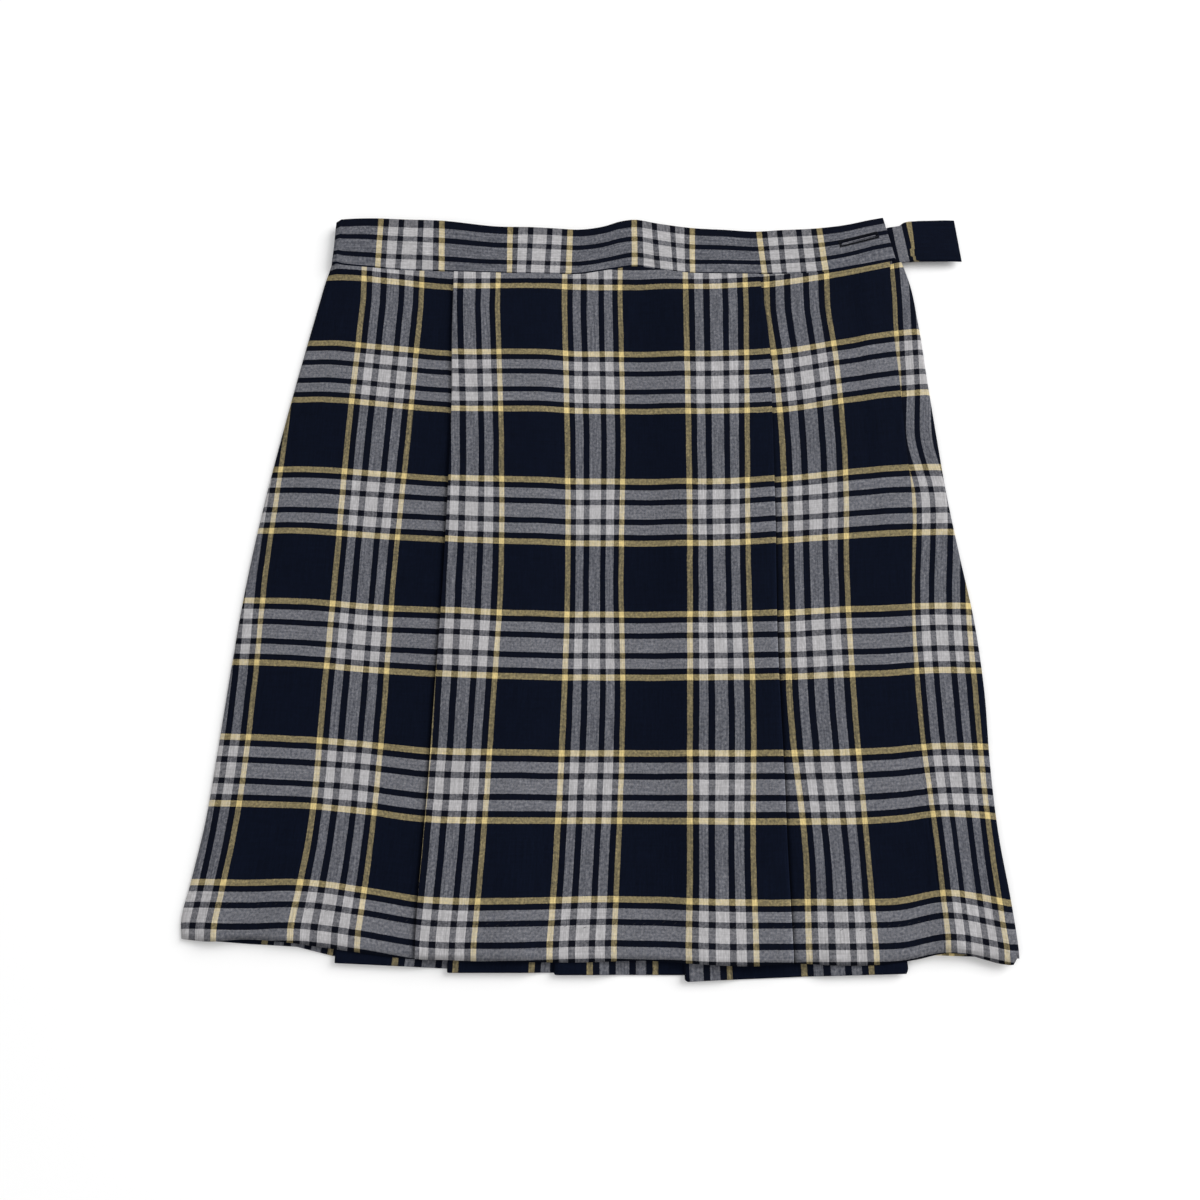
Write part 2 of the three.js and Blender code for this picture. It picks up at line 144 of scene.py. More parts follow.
# Pleats of the back, seen from inside: the top ply's edge and its depth at waist and hem, the side that it
# looks to, and the hem's height at the pleat's left end, at its fold and at its right end
BACK_PLEATS = [
    ((-125, -138.8), (44, 39.7), -1, (-197.0, -196.8, -199.4)),
    ((-71, -79.6), (44, 38.5), -1, (-201.2, -201.7, -201.7)),
    ((-17, -23.4), (30, 21.7), -1, (-202.1, -202.8, -202.8)),
    ((24, 45.0), (26, 17.7), -1, (-203.0, -206.2, -205.0)),
    ((130, 161.0), (46, 40.0), 1, (-203.7, -202.2, -191.0)),
]
# The back's hem left of them: share of the way to the first pleat at the waist, x at the hem, and the hem's
# height
BACK_LEFT_HEM = [(0.5, -185, -187.2), (0.7, -160, -188.6), (0.95, -141, -193.2)]
BACK_DROP = (7.5, 13)  # distance over which their top plies come down again, at waist and hem

# Waistband, upper and lower edge, from the front end to the left side, then along the back to the tab's end
FRONT_RUN = [
    (172.6, 238.9, 178.9, 210.5),
    (164, 237.2, 168.5, 208.4),
    (150, 234.0, 154, 205.5),
    (132, 231.6, 134.6, 202.0),
    (110, 230.4, 112, 200.6),
    (94.5, 229.4, 97.3, 200.3),
    (76, 230.6, 76.5, 200.5),
    (57, 231.7, 56.5, 200.8),
    (34, 235.1, 36, 203.3),
    (20.3, 237.5, 20.2, 205.6),
    (12, 236.2, 11.8, 204.4),
    (3.3, 233.2, 3, 202.9),
    (-12, 230.8, -12.6, 200.4),
    (-27, 231.6, -28.3, 200.4),
    (-42, 232.5, -43.2, 200.6),
    (-60.6, 232.8, -60, 201.0),
    (-97, 236.9, -96, 202.2),
    (-122, 237.8, -123.2, 203.3),
    (-135, 238.4, -135.4, 204.6),
    (-150, 238.2, -150.4, 206.1),
    (-155.5, 237.8, -156.4, 206.9),
]
LEFT_TURN = (-161.7, 237.4, -162.9, 208.0)
LEFT_CORNER = 2.6  # how far the band's upper left corner is rounded down
BACK_RUN = [
    (-150, 235.8, -151, 206.4, 1.2),
    (-96, 235.4, -96, 205.0, 1.2),
    (-60, 231.0, -60, 203.0, 1.2),
    (-14, 229.3, -14, 201.1, 1.2),
    (50, 229.3, 50, 200.9, 1.2),
    (97, 227.6, 97, 200.3, 1.2),
    (135, 228.5, 135, 200.3, 1.2),
    (157, 229.0, 157, 203.6, 1.2),
    (166, 231.0, 166, 205.6, 1.3),
    (177.6, 234.3, 178.5, 208.9, 2.6),
    (183.4, 234.9, 184.6, 210.0, 3.4),
    (185.6, 236.7, 187.0, 210.1, 3.7),
    (191, 237.2, 191.5, 210.1, 4.3),
    (202, 237.6, 203, 210.2, 4.35),
    (211, 237.9, 213, 210.3, 4.3),
    (216.4, 238.0, 219.1, 210.3, 3.9),
]

# Yellow warp lines of each part, at shares of the length: which of the two stripes, in which repeat, and
# how far across it lies
WARP_LINES = {
    "left": (
        [0.055, 0.287, 0.489, 0.666, 0.868, 0.978],
        [
            (1, -1, [-181.5, -184.1, -189.7, -191.5, -196.9, -203.2]),
            (0, 0, [-142.2, -147.1, -149.7, -152.5, -156.3, -162.8]),
            (1, 0, [-107.5, -112.3, -117.0, -119.0, -123.3, -127.7]),
        ],
    ),
    "centre": (
        [0.055, 0.287, 0.489, 0.666, 0.868, 0.978],
        [
            (0, 2, [-95.6, -91.0, -91.6, -92.4, -96.2, -99.4]),
            (1, 2, [-61.4, -57.1, -56.1, -59.1, -63.2, -66.3]),
            (0, 3, [-21.3, -18.9, -18.3, -20.1, -23.7, -26.5]),
            (1, 3, [11.9, 13.1, 11.6, 12.4, 9.3, 7.1]),
            (0, 4, [51.2, 51.3, 50.5, 49.2, 47.7, 46.4]),
            (1, 4, [87.0, 85.0, 83.4, 83.8, 81.3, 81.5]),
        ],
    ),
    "right": (
        [0.055, 0.127, 0.287, 0.489, 0.666, 0.868, 0.978],
        [
            (0, 6, [100.0, 103.0, 106.0, 104.9, 104.7, 110.0, 109.6]),
            (1, 6, [136.2, 138.8, 141.6, 139.3, 140.0, 143.1, 144.6]),
        ],
    ),
    "wrap": (
        [0.055, 0.105, 0.2, 0.28, 0.36, 0.44, 0.489, 0.666, 0.868, 0.978],
        [
            (0, 5, [208.0, 208.0, 207.0, 206.0, 211.6, 210.2, 208.0, 207.4, 209.8, 213.2]),
            (1, 5, [176.9, 176.6, 176.4, 174.4, 180.2, 178.7, 176.8, 176.1, 180.5, 182.8]),
        ],
    ),
}
BACK_FOLD = (2, -16.4)  # the back pleat whose edge follows one warp yarn, and that yarn's place

# Yellow weft lines at the middle of the front, with their places on the flat cloth, and how far the lines
# rise towards the sides
WEFT_Y = [-201.2, -166.2, -124.0, -87.6, -45.6, -9.9, 31.6, 68.8, 112.7, 148.9, 192.3]
WEFT_PLACE = [WEFT_YELLOWS[1 - i % 2] + WEFT_REPEAT * (4 - i // 2) for i in range(len(WEFT_Y))]
HEM_INK_Y = -188.6  # the dark line next to the hem
HEM_INK_OFF = 24.35  # how far it lies below the yellow line above it, on the flat cloth
WEFT_Y.insert(1, HEM_INK_Y)
WEFT_PLACE.insert(1, WEFT_PLACE[1] + HEM_INK_OFF)
RISE_X = [-210, -189, -160, -128, -98, -45, 0, 28, 68, 107, 135, 158, 182, 216]
RISE_SHARES = [0.04, 0.19, 0.39, 0.58, 0.78, 0.93]
RISE = [
    [9.0, 8.6, 7.6, 4.4, 1.0, 0.4, 0.3, 0.2, 0.0, 2.8, 7.0, 11.5, 16.0, 17.0],
    [9.0, 8.5, 7.5, 4.5, 1.4, 0.5, 0.0, -0.4, -1.0, 1.0, 5.5, 9.0, 12.0, 13.0],
    [9.0, 8.5, 7.5, 5.1, 3.3, 1.0, 0.6, 0.3, 0.0, 2.7, 4.8, 6.5, 7.5, 8.0],
    [9.5, 8.8, 7.5, 4.5, 3.0, 0.5, 0.3, 0.2, 0.0, 1.0, 2.5, 3.0, 4.5, 4.2],
    [10.0, 9.2, 7.8, 5.4, 1.6, 0.5, 0.3, 0.2, 0.0, 0.1, 0.4, 1.6, 4.0, 3.8],
    [10.6, 10.2, 10.7, 7.0, 2.0, 0.8, 1.8, 1.4, 0.0, 0.0, 0.1, 0.7, 5.0, -0.4],
]
BACK_SHIFT = 13  # how much higher the plaid lies on the back than on the front
SHIFT_FADE = (120, 210)  # from where to where this shift fades
BACK_LEFT_SHIFT = 7  # more of it at the left side
LEFT_SHIFT_FADE = (-150, -120)
LIFT_START = 22  # distance from the left side over which the soft folds begin
WRAP_START = 165  # the back comes over the front to the right of this

# Soft ridges left by folding, as x and y of both ends, half width and height
RIDGES = [
    (-206, -190, -199, -95, 9, 1.6),
    (-168, -190, -160, -120, 11, 1.1),
    (-133, -195, -128, -60, 8, 0.7),
    (-45, -200, -40, -110, 10, 0.9),
    (10, -200, 2, -60, 14, 0.8),
    (54, -200, 58, -90, 9, 0.8),
    (128, -200, 122, -110, 12, 1.0),
    (187, -198, 181, -70, 8, 2.2),
    (214, -198, 208, -110, 5, 1.0),
    (-150, 150, -120, 30, 16, 0.6),
    (-40, 190, -30, 60, 18, 0.5),
    (35, 120, 60, -40, 20, 0.5),
    (135, 190, 150, 20, 12, 0.9),
    (-75, 20, -70, -90, 15, 0.5),
]


def smooth_curve(places, values):
    """A smooth curve through a table's points, level with its end points outside them."""
    place, value = np.array(places, float), np.array(values, float)
    slope = np.gradient(value, place)

    def at(x):
        i = int(np.clip(np.searchsorted(place, x) - 1, 0, len(place) - 2))
        width = place[i + 1] - place[i]
        s = min(max((x - place[i]) / width, 0.0), 1.0)
        start = (1 + 2 * s) * (1 - s) ** 2 * value[i] + s * (1 - s) ** 2 * width * slope[i]
        return float(start + s * s * (3 - 2 * s) * value[i + 1] + s * s * (s - 1) * width * slope[i + 1])

    return at


def lerp(a, b, share):
    return a + (b - a) * share


def smoothstep(x, low=0.0, high=1.0):
    s = min(max((x - low) / (high - low), 0.0), 1.0)
    return s * s * (3 - 2 * s)


def line_through(x, places, values):
    """Straight between a table's points, and on at the end's slope outside them."""
    if x < places[0]:
        slope = (values[1] - values[0]) / (places[1] - places[0])
        return values[0] + slope * (x - places[0])
    if x > places[-1]:
        slope = (values[-1] - values[-2]) / (places[-1] - places[-2])
        return values[-1] + slope * (x - places[-1])
    return float(np.interp(x, places, values))


outline_curves = {name: smooth_curve(OUTLINE_SHARES, column) for name, column in OUTLINE.items()}
front_hem = smooth_curve(HEM_X, HEM_Y)
warp_curves = {
    part: [
        (WARP_YELLOWS[stripe] + repeat * WARP_REPEAT, smooth_curve(shares, across))
        for stripe, repeat, across in lines
    ]
    for part, (shares, lines) in WARP_LINES.items()
}
rise_curves = [smooth_curve(RISE_X, row) for row in RISE]


def band_low(run):
    rows = sorted((row[2], row[3]) for row in run)
    return smooth_curve([x for x, _ in rows], [y for _, y in rows])


front_waist = band_low([*FRONT_RUN, LEFT_TURN])
back_waist = band_low([LEFT_TURN, *BACK_RUN])
back_band_height = smooth_curve([row[2] for row in BACK_RUN], [row[4] for row in BACK_RUN])


def warp_place(part, x, share):
    """Which warp yarn lies at x on this part of the skirt."""
    spots = sorted((curve(share), place) for place, curve in warp_curves[part])
    return line_through(x, [spot for spot, _ in spots], [place for _, place in spots])


def weft_rise(x, share):
    return float(np.interp(share, RISE_SHARES, [curve(x) for curve in rise_curves]))


def weft_place(y):
    """Which weft yarn lies at y at the middle of the front."""
    if y > WEFT_Y[-1]:
        return WEFT_PLACE[-1] - (y - WEFT_Y[-1])
    if y < WEFT_Y[0]:
        return WEFT_PLACE[0] + (WEFT_Y[0] - y)
    return float(np.interp(y, WEFT_Y, WEFT_PLACE))


def ridge_height(x, y):
    """Height of the soft folds of the laid cloth."""
    height = 0.0
    for x0, y0, x1, y1, width, top in RIDGES:
        length = math.hypot(x1 - x0, y1 - y0)
        along = ((x - x0) * (x1 - x0) + (y - y0) * (y1 - y0)) / length
        across = ((x - x0) * (y1 - y0) - (y - y0) * (x1 - x0)) / length
        fade = smoothstep(along, -12, 12) * (1 - smoothstep(along, 0.35 * length, length))
        if y0 > y1:
            fade = smoothstep(along, -8, 0.4 * length) * (1 - smoothstep(along, 0.6 * length, length))
        height += top * fade * math.exp(-((across / width) ** 2))
    ripple = noise.noise(Vector((x / 26, y / 41, 3.0))) + 0.5 * noise.noise(Vector((x / 11, y / 17, 8.0)))
    return height + SURFACE_RIPPLE * (1 + ripple)


class ClothPath:
    """A cloth's path seen from its hem: points with x, z, hem height and the part of the skirt that they
    are on."""

    def __init__(self, x, z, hem, part):
        self.points = [(x, z, hem, part)]

    def run(self, x, z, hem, steps, part, curved=False):
        from_x, from_z, from_hem, _ = self.points[-1]
        for step in range(1, steps + 1):
            share = step / steps
            bend = smoothstep(share) if curved else share
            spot = (lerp(from_x, x, share), lerp(from_z, z, bend))
            self.points.append((*spot, lerp(from_hem, hem, share), part))

    def turn(self, bulge, z, hem, steps, part):
        from_x, from_z, from_hem, _ = self.points[-1]
        middle, radius = (from_z + z) / 2, (z - from_z) / 2
        for step in range(1, steps + 1):
            angle = math.pi * step / steps
            spot = (from_x + bulge * abs(radius) * math.sin(angle), middle - radius * math.cos(angle))
            self.points.append((*spot, lerp(from_hem, hem, step / steps), part))

    def pleat(self, edge, depth, looks, ground, hems, drop, parts, steps):
        """Three plies, the top one ending in a fold at `edge` that looks left (-1) or right (1)."""
        middle, top = ground + PLY, ground + 2 * PLY
        face = edge - looks * (FOLD_RADIUS + CLOTH / 2)
        inner = edge - looks * (depth - FOLD_RADIUS - CLOTH / 2)
        hem_left, hem_fold, hem_right = hems
        before, hidden, after = parts
        run_steps, hidden_steps, top_steps, drop_steps = steps
        if looks < 0:
            self.run(inner, ground, hem_left, run_steps, hidden)
            self.turn(1, middle, hem_left, 6, hidden)
            self.run(face, middle, (hem_left + hem_fold) / 2, hidden_steps, hidden)
            self.turn(-1, top, hem_fold, 8, after)
            self.run(inner + 1, top, lerp(hem_fold, hem_right, 0.7), top_steps, after)
            self.run(inner + 1 + drop, ground, hem_right, drop_steps, after, True)
        else:
            self.run(inner - 1 - drop, ground, hem_left, run_steps, before)
            self.run(inner - 1, top, lerp(hem_left, hem_fold, 0.3), drop_steps, before, True)
            self.run(face, top, hem_fold, top_steps, before)
            self.turn(1, middle, (hem_fold + hem_right) / 2, 8, before)
            self.run(inner, middle, hem_right, hidden_steps, hidden)
            self.turn(-1, ground, hem_right, 6, hidden)

    def roll_under(self, side, length, part):
        """The ironed edge of a seam or opening, with its allowance turned inside."""
        x, z, hem, _ = self.points.pop()
        for step in range(7):
            angle = math.pi * step / 6
            spot = (x + side * EDGE_ROLL * (math.sin(angle) - 1), z - EDGE_ROLL * (1 - math.cos(angle)))
            self.points.append((*spot, hem, part if step < 3 else "under"))
        self.run(x - side * length, z - 2 * EDGE_ROLL, hem, 3, "under")


def front_edges(share):
    """The front's left side, its two pleats' folds and the right side seam."""
    return [outline_curves[name](share) for name in ("left_side", "left_pleat", "right_pleat", "side_seam")]


def front_path(share):
    """The front from its left side seam to its lapped right edge."""
    left_side, left_pleat, right_pleat, side_seam = front_edges(share)
    depth = lerp(*PLEAT_DEPTH, share)
    lifted = FRONT_GROUND + PLY * (1 - smoothstep(share, PLACKET_END, SEAM_START))
    path = ClothPath(left_side + 0.4, 1.1, 0, "left")
    path.run(left_side, 1.5, 0, 2, "left")
    path.run(left_side + 1.4, 2.6, 0, 2, "left")
    path.run(left_side + 20, FRONT_GROUND, 0, 8, "left", True)
    path.run(left_pleat - 3, FRONT_GROUND, 0, 26, "left")
    path.run(left_pleat - 0.4, FRONT_GROUND - GROOVE, 0, 4, "left", True)
    path.run(left_pleat + 2, FRONT_GROUND, 0, 3, "left", True)
    pleat = {"depth": depth, "ground": FRONT_GROUND, "hems": (0, 0, 0), "drop": FRONT_DROP}
    path.pleat(left_pleat, looks=-1, parts=("left", "hidden", "centre"), steps=(5, 5, 17, 8), **pleat)
    path.pleat(right_pleat, looks=1, parts=("centre", "hidden", "right"), steps=(8, 5, 17, 8), **pleat)
    path.run(right_pleat - 2, FRONT_GROUND, 0, 5, "hidden")
    path.run(right_pleat + 0.4, FRONT_GROUND - GROOVE * smoothstep(share, 0.4, 0.6), 0, 3, "right", True)
    path.run(right_pleat + 3, FRONT_GROUND, 0, 4, "right", True)
    path.run(side_seam - LAP - 14, FRONT_GROUND, 0, 17, "right")
    path.run(side_seam - LAP - 4, lifted, 0, 5, "right", True)
    path.run(side_seam, lifted, 0, 6, "right")
    path.roll_under(1, 12, "right")
    return [(x, z, front_hem(x), part) for x, z, _, part in path.points]


def back_path(share):
    """The back from its left side seam over the surface, round the right side and up to the right side
    seam."""
    left_side, side_seam, right_side = (
        outline_curves[name](share) for name in ("left_side", "side_seam", "right_side")
    )
    path = ClothPath(left_side + 0.5, BACK_GROUND, front_hem(left_side), "floor")
    for across, x, hem in BACK_LEFT_HEM:
        start = lerp(left_side, BACK_PLEATS[0][0][0], across)
        path.run(lerp(start, x, share), BACK_GROUND, hem, 4, "floor")
    for edges, depths, looks, hems in BACK_PLEATS:
        last = looks > 0
        path.pleat(
            lerp(*edges, share),
            lerp(*depths, share),
            looks,
            BACK_GROUND,
            hems,
            lerp(*BACK_DROP, share),
            ("floor", "hidden" if last else "floor", "floor"),
            (5, 4, 9, 4),
        )
    reach = (FRONT_GROUND - BACK_GROUND) / 2 + CLOTH / 2
    underlap = (LAP + 0.3) * (1 - smoothstep(share, LAP_END, PLACKET_END))
    path.run(right_side - reach, BACK_GROUND, front_hem(right_side), 12, "side")
    path.turn(1, FRONT_GROUND, front_hem(right_side), 12, "wrap")
    on_top = len(path.points)
    path.run(side_seam + 0.3 - underlap, FRONT_GROUND, 0, 18, "wrap")
    path.roll_under(-1, 8, "wrap")
    return path.points[:on_top] + [(x, z, front_hem(x), part) for x, z, _, part in path.points[on_top:]]


def path_lengths(points):
    xz = np.array([point[:2] for point in points])
    return np.concatenate([[0], np.cumsum(np.hypot(*np.diff(xz, axis=0).T))])


def filled_places(points, known):
    """The warp yarn at each point of a path, even along the cloth between the points where it is known."""
    lengths = path_lengths(points)
    return [line_through(length, [lengths[i] for i in known], list(known.values())) for length in lengths]


def front_places(points, share):
    known = {
        i: warp_place(part, x, share) for i, (x, _, _, part) in enumerate(points) if part in warp_curves
    }
    return filled_places(points, known)


def back_places(points, share):
    lengths = path_lengths(points)
    pleat, place = BACK_FOLD
    edge = lerp(*BACK_PLEATS[pleat][0], share)
    floor = [i for i, point in enumerate(points) if point[3] == "floor"]
    fold = min((i for i in floor if points[i][1] > PLY), key=lambda i: abs(points[i][0] - edge))
    first_wrap = next(i for i, point in enumerate(points) if point[3] == "wrap")
    known = {i: place + lengths[i] - lengths[fold] for i in floor}
    turned = warp_place("wrap", points[first_wrap][0], share)
    for i, (x, _, _, part) in enumerate(points):
        if part == "side":
            known[i] = turned - (lengths[first_wrap] - lengths[i])
        if part == "wrap":
            known[i] = warp_place("wrap", x, share)
    return filled_places(points, dict(sorted(known.items())))


def front_weft(point, y, share):
    return weft_place(y - weft_rise(point[0], share))


def back_weft(point, y, share):
    x, _, _, part = point
    over_front = {"wrap": 1.0, "under": 1.0, "floor": 0.0}.get(part, smoothstep(x, *SHIFT_FADE))
    on_back = BACK_SHIFT + BACK_LEFT_SHIFT * (1 - smoothstep(x, *LEFT_SHIFT_FADE))
    return weft_place(y - lerp(on_back, weft_rise(x, share), over_front))


def to_frame(x, y, z):
    return (Vector((x, y, z)) - MIDDLE) * MM


def add_object(name, data):
    added = bpy.data.objects.new(name, data)
    bpy.context.scene.collection.objects.link(added)
    return added


def new_piece(name, bm):
    mesh = bpy.data.meshes.new(name)
    for face in bm.faces:
        face.smooth = True
    bm.to_mesh(mesh)
    bm.free()
    return add_object(name, mesh)


def flat_sheet(name, columns, rows, place):
    """A grid whose points are put in place by `place`, which gives a point, its spot on the flat cloth and
    the painted highlight and shade along the pleats' folds there."""
    bm = bmesh.new()
    bmesh.ops.create_grid(bm, x_segments=columns - 1, y_segments=rows - 1, size=0.5)
    cloth_map = bm.loops.layers.uv.new("cloth")
    # painted highlight and painted shade along the pleats' folds, kept per point for the cloth's shader
    fold_light_shade = bm.verts.layers.float.new("fold_light_shade")
    spots = {}
    for vert in bm.verts:
        column = round((vert.co.x + 0.5) * (columns - 1))
        row = round((vert.co.y + 0.5) * (rows - 1))
        vert.co, spots[vert], vert[fold_light_shade] = place(column, row)
    for face in bm.faces:
        for loop in face.loops:
            loop[cloth_map].uv = spots[loop.vert]
    bmesh.ops.remove_doubles(bm, verts=bm.verts, dist=0.00001)
    return new_piece(name, bm)


def give_thickness(piece, thickness):
    shell = piece.modifiers.new("thickness", "SOLIDIFY")
    shell.thickness = thickness * MM
    shell.offset = 0
    shell.use_even_offset = False
    return piece


def panel_rows(length_rows):
    """Rows of a panel from the turned-up hem's inner edge to inside the waistband, as the kind of row and
    how far along it lies: up the hem, round its fold, up the cloth as a share, or up the tuck."""
    rows = [("hem", lerp(HEM_DEPTH, HEM_FIRST_ROW, i / 5)) for i in range(6)]
    rows += [("roll", angle) for angle in np.linspace(math.pi, 0, 7)[:-1]]
    rows += [("cloth", share) for share in np.linspace(1, 0, length_rows)]
    rows += [("tuck", TUCK * i / 3) for i in range(1, 4)]
    return rows


def panel(
    name, path_at, places_at, weft_at, waist_at, waist_level, inside, lift_share, fold_shading_at, length_rows
):
    """A panel of the skirt: its path at every row from hem to waist, with the hem turned up inside, above
    (1) or below (-1) the cloth."""
    waist_path, hem_path = path_at(0.0), path_at(1.0)
    rows = panel_rows(length_rows)
    kept = {}

    def cloth_row(share):
        if share not in kept:
            points = path_at(share)
            kept[share] = (points, places_at(points, share))
        return kept[share]

    def place(column, row):
        kind, amount = rows[row]
        share = {"hem": 1.0 - amount / LENGTH, "roll": 1.0, "cloth": float(amount), "tuck": 0.0}[kind]
        points, yarns = cloth_row(share)
        x, z, _, part = points[column]
        waist_y = waist_at(waist_path[column][0])
        y = lerp(waist_y, hem_path[column][2], share)
        before, after = points[max(column - 1, 0)], points[min(column + 1, len(points) - 1)]
        reach = math.hypot(after[0] - before[0], after[1] - before[1])
        out = Vector((-(after[1] - before[1]) / reach, 0, (after[0] - before[0]) / reach))
        lifted = ridge_height(x, y) * lift_share(points[column], share)
        seam = smoothstep(waist_y - y, 0, SEAM_DITCH)
        level = waist_level(x)
        z = level + (z - level) * lerp(SEAM_STACK, 1.0, seam) + lifted * seam
        x += SIDE_TAKE_IN * (1 - smoothstep(x, *SIDE_TAKEN)) * (1 - seam)
        # painted highlight on the pleats' fold edges and painted shade beside them
        fold_tone = fold_shading_at(points[column], share)
        weft = weft_at(points[column], y, share)
        if kind == "tuck":
            y += amount
            z -= TUCK_FALL * amount
            weft -= amount
        if kind == "roll":
            y += EDGE_ROLL * (1 - math.sin(amount))
            out_by = EDGE_ROLL * (1 - math.cos(amount)) if part != "under" else 0.0
            x, z = x + inside * out.x * out_by, z + inside * out.z * out_by
            weft += EDGE_ROLL * amount
        if kind == "hem":
            out_by = 2 * EDGE_ROLL if part != "under" else 0.0
            x, z = x + inside * out.x * out_by, z + inside * out.z * out_by
            weft += 2 * amount
        return to_frame(x, y, z), (yarns[column] * MM, weft * MM), fold_tone

    piece = flat_sheet(name, len(waist_path), len(rows), place)
    return give_thickness(piece, CLOTH)


def front_lift(point, share):
    """How much of the soft folds the front takes part in."""
    return smoothstep(point[0] - outline_curves["left_side"](share), 0, LIFT_START)


def back_lift(point, share):
    """The back lies flat, apart from what comes round over the front."""
    x, z, _, part = point
    if part in ("floor", "side") or x < WRAP_START:
        return 0.0
    return min(max((z - BACK_GROUND) / (FRONT_GROUND - BACK_GROUND), 0.0), 1.0)


def front_fold_shading(point, share):
    """Painted highlight along the pleats' fold edges, and painted shade in the gap beside them."""
    x, z, _, part = point
    fold_light_shade = 0.0
    for name, looks in (("left_pleat", -1), ("right_pleat", 1)):
        off = x - outline_curves[name](share)
        if z > FRONT_GROUND + PLY and part == "centre":
            # painted highlight along the top ply's fold edge
            fold_light_shade += math.exp(-((off / 0.8) ** 2))
        elif part in ("left", "right"):
            # painted shade beside the folds, stronger beside the right pleat
            fold_light_shade -= (2.0 if looks > 0 else 1.3) * math.exp(-((off / 1.1) ** 2))
    return fold_light_shade * smoothstep(share, 0.15, 0.5)


def no_fold_shading(point, share):
    return 0.0


def front_waist_level(x):
    """Height of the front's cloth at the waist seam, which goes down round the left side."""
    left = OUTLINE["left_side"][0]
    return lerp(WAIST_SIDE, WAIST_FRONT, smoothstep(x, left - 0.4, left + 5))


def back_waist_level(x):
    return back_band_height(x) + 0.5 * smoothstep(x, 150, 170)


front_ways = (front_path, front_places, front_weft, front_waist, front_waist_level)
front = panel("front_cloth", *front_ways, -1, front_lift, front_fold_shading, 112)
back_ways = (back_path, back_places, back_weft, back_waist, back_waist_level)
back = panel("back_cloth", *back_ways, 1, back_lift, no_fold_shading, 90)


def band_stations():
    """The waistband's path at both edges: x, y and height, from the front end round the left side to the
    tab."""
    stations = [((a, b, BAND_FRONT), (c, d, BAND_FRONT)) for a, b, c, d in FRONT_RUN]
    radius = (BAND_FRONT - BAND_BACK) / 2
    a, b, c, d = LEFT_TURN
    for step in range(9):
        angle = math.pi * step / 8
        height = (BAND_FRONT + BAND_BACK) / 2 + radius * math.cos(angle)
        shift = radius + BAND / 2 - radius * math.sin(angle)
        corner = LEFT_CORNER * math.sin(angle) ** 2
        stations.append(((a + shift, b - corner, height), (c + shift, d, height)))
    stations += [((a, b, z), (c, d, z)) for a, b, c, d, z in BACK_RUN]
    return stations


# Yellow lines across the waistband: how far along its upper edge each lies on the front, and on the tab
BAND_YELLOWS = [133.3, 96.5, 56.2, 21.0, -17.9, -54.4, -96.2, -133.3]
TAB_YELLOW = 188.2
TAB_SLANT = 2.8  # how far the tab's yarns lean to the right at its lower edge
FACING_PLACE = -1.0  # the warp yarn where the waistband's facing starts, at its top fold
# Dark lines along the waistband's outer face: at x, the share of its height at the top line's lower edge
# and at the middles of the two others
BAND_INKS = [
    (-155, 0.170, 0.385, 0.745),
    (-110, 0.165, 0.389, 0.737),
    (-75, 0.170, 0.404, 0.757),
    (0, 0.165, 0.420, 0.767),
    (78, 0.165, 0.415, 0.728),
    (146, 0.170, 0.390, 0.700),
    (158, 0.150, 0.365, 0.670),
    (166, 0.145, 0.355, 0.650),
]
INK_HALF = 0.047  # half the width of such a line, as a share of the height
INK_YARNS = [3.0, 6.5, 11.6, 15.2, 22.5, 26.1, 31.1]  # the warp yarns at the edges of the lines
BAND_STEP = 3.0
BAND_HEIGHT = 30  # of the flat strip
FACE_STEPS = 30  # steps down each face of the strip
TOP_STEPS = 8  # steps over its top fold
LOW_STEPS = 6  # steps round its lower edge
RIPPLE = 0.35  # unevenness of its faces


def resample(stations, step):
    """Points at even steps along a run, closer at its ends, on smooth curves through its stations."""
    top = np.array([station[0] for station in stations])
    low = np.array([station[1] for station in stations])
    lengths = np.concatenate([[0], np.cumsum(np.linalg.norm(np.diff(top, axis=0), axis=1))])
    curves = [[smooth_curve(lengths, edge[:, axis]) for axis in range(3)] for edge in (top, low)]
    whole, half = lengths[-1], BAND / 2
    ends = [half * (1 - math.cos(math.pi / 2 * i / 4)) for i in range(4)]
    middle = np.linspace(half, whole - half, int(whole / step))
    spots = np.array([*ends, *middle, *(whole - end for end in reversed(ends))])
    return spots, [[Vector([curve(s) for curve in edge]) for edge in curves] for s in spots]


def band_anchor(spots, points):
    """The weft place along the waistband for every spot on its run."""
    front_count = next(i for i, ends in enumerate(points) if ends[0].z < BAND_FRONT - 0.2)
    xs = [ends[0].x for ends in points]
    marks = []
    for number, x in enumerate(BAND_YELLOWS):
        spot = float(np.interp(-x, [-v for v in xs[:front_count]], spots[:front_count]))
        pair, second = divmod(number, 2)
        marks.append((spot, pair * WEFT_REPEAT + WEFT_YELLOWS[second]))
    tail = range(front_count + 10, len(points))
    tab = float(np.interp(TAB_YELLOW, [xs[i] for i in tail], [spots[i] for i in tail]))
    natural = marks[-1][1] + (tab - marks[-1][0])
    repeats = round((natural - WEFT_YELLOWS[1]) / WEFT_REPEAT)
    marks.append((tab, WEFT_YELLOWS[1] + repeats * WEFT_REPEAT))
    return lambda spot: line_through(spot, [m[0] for m in marks], [m[1] for m in marks])


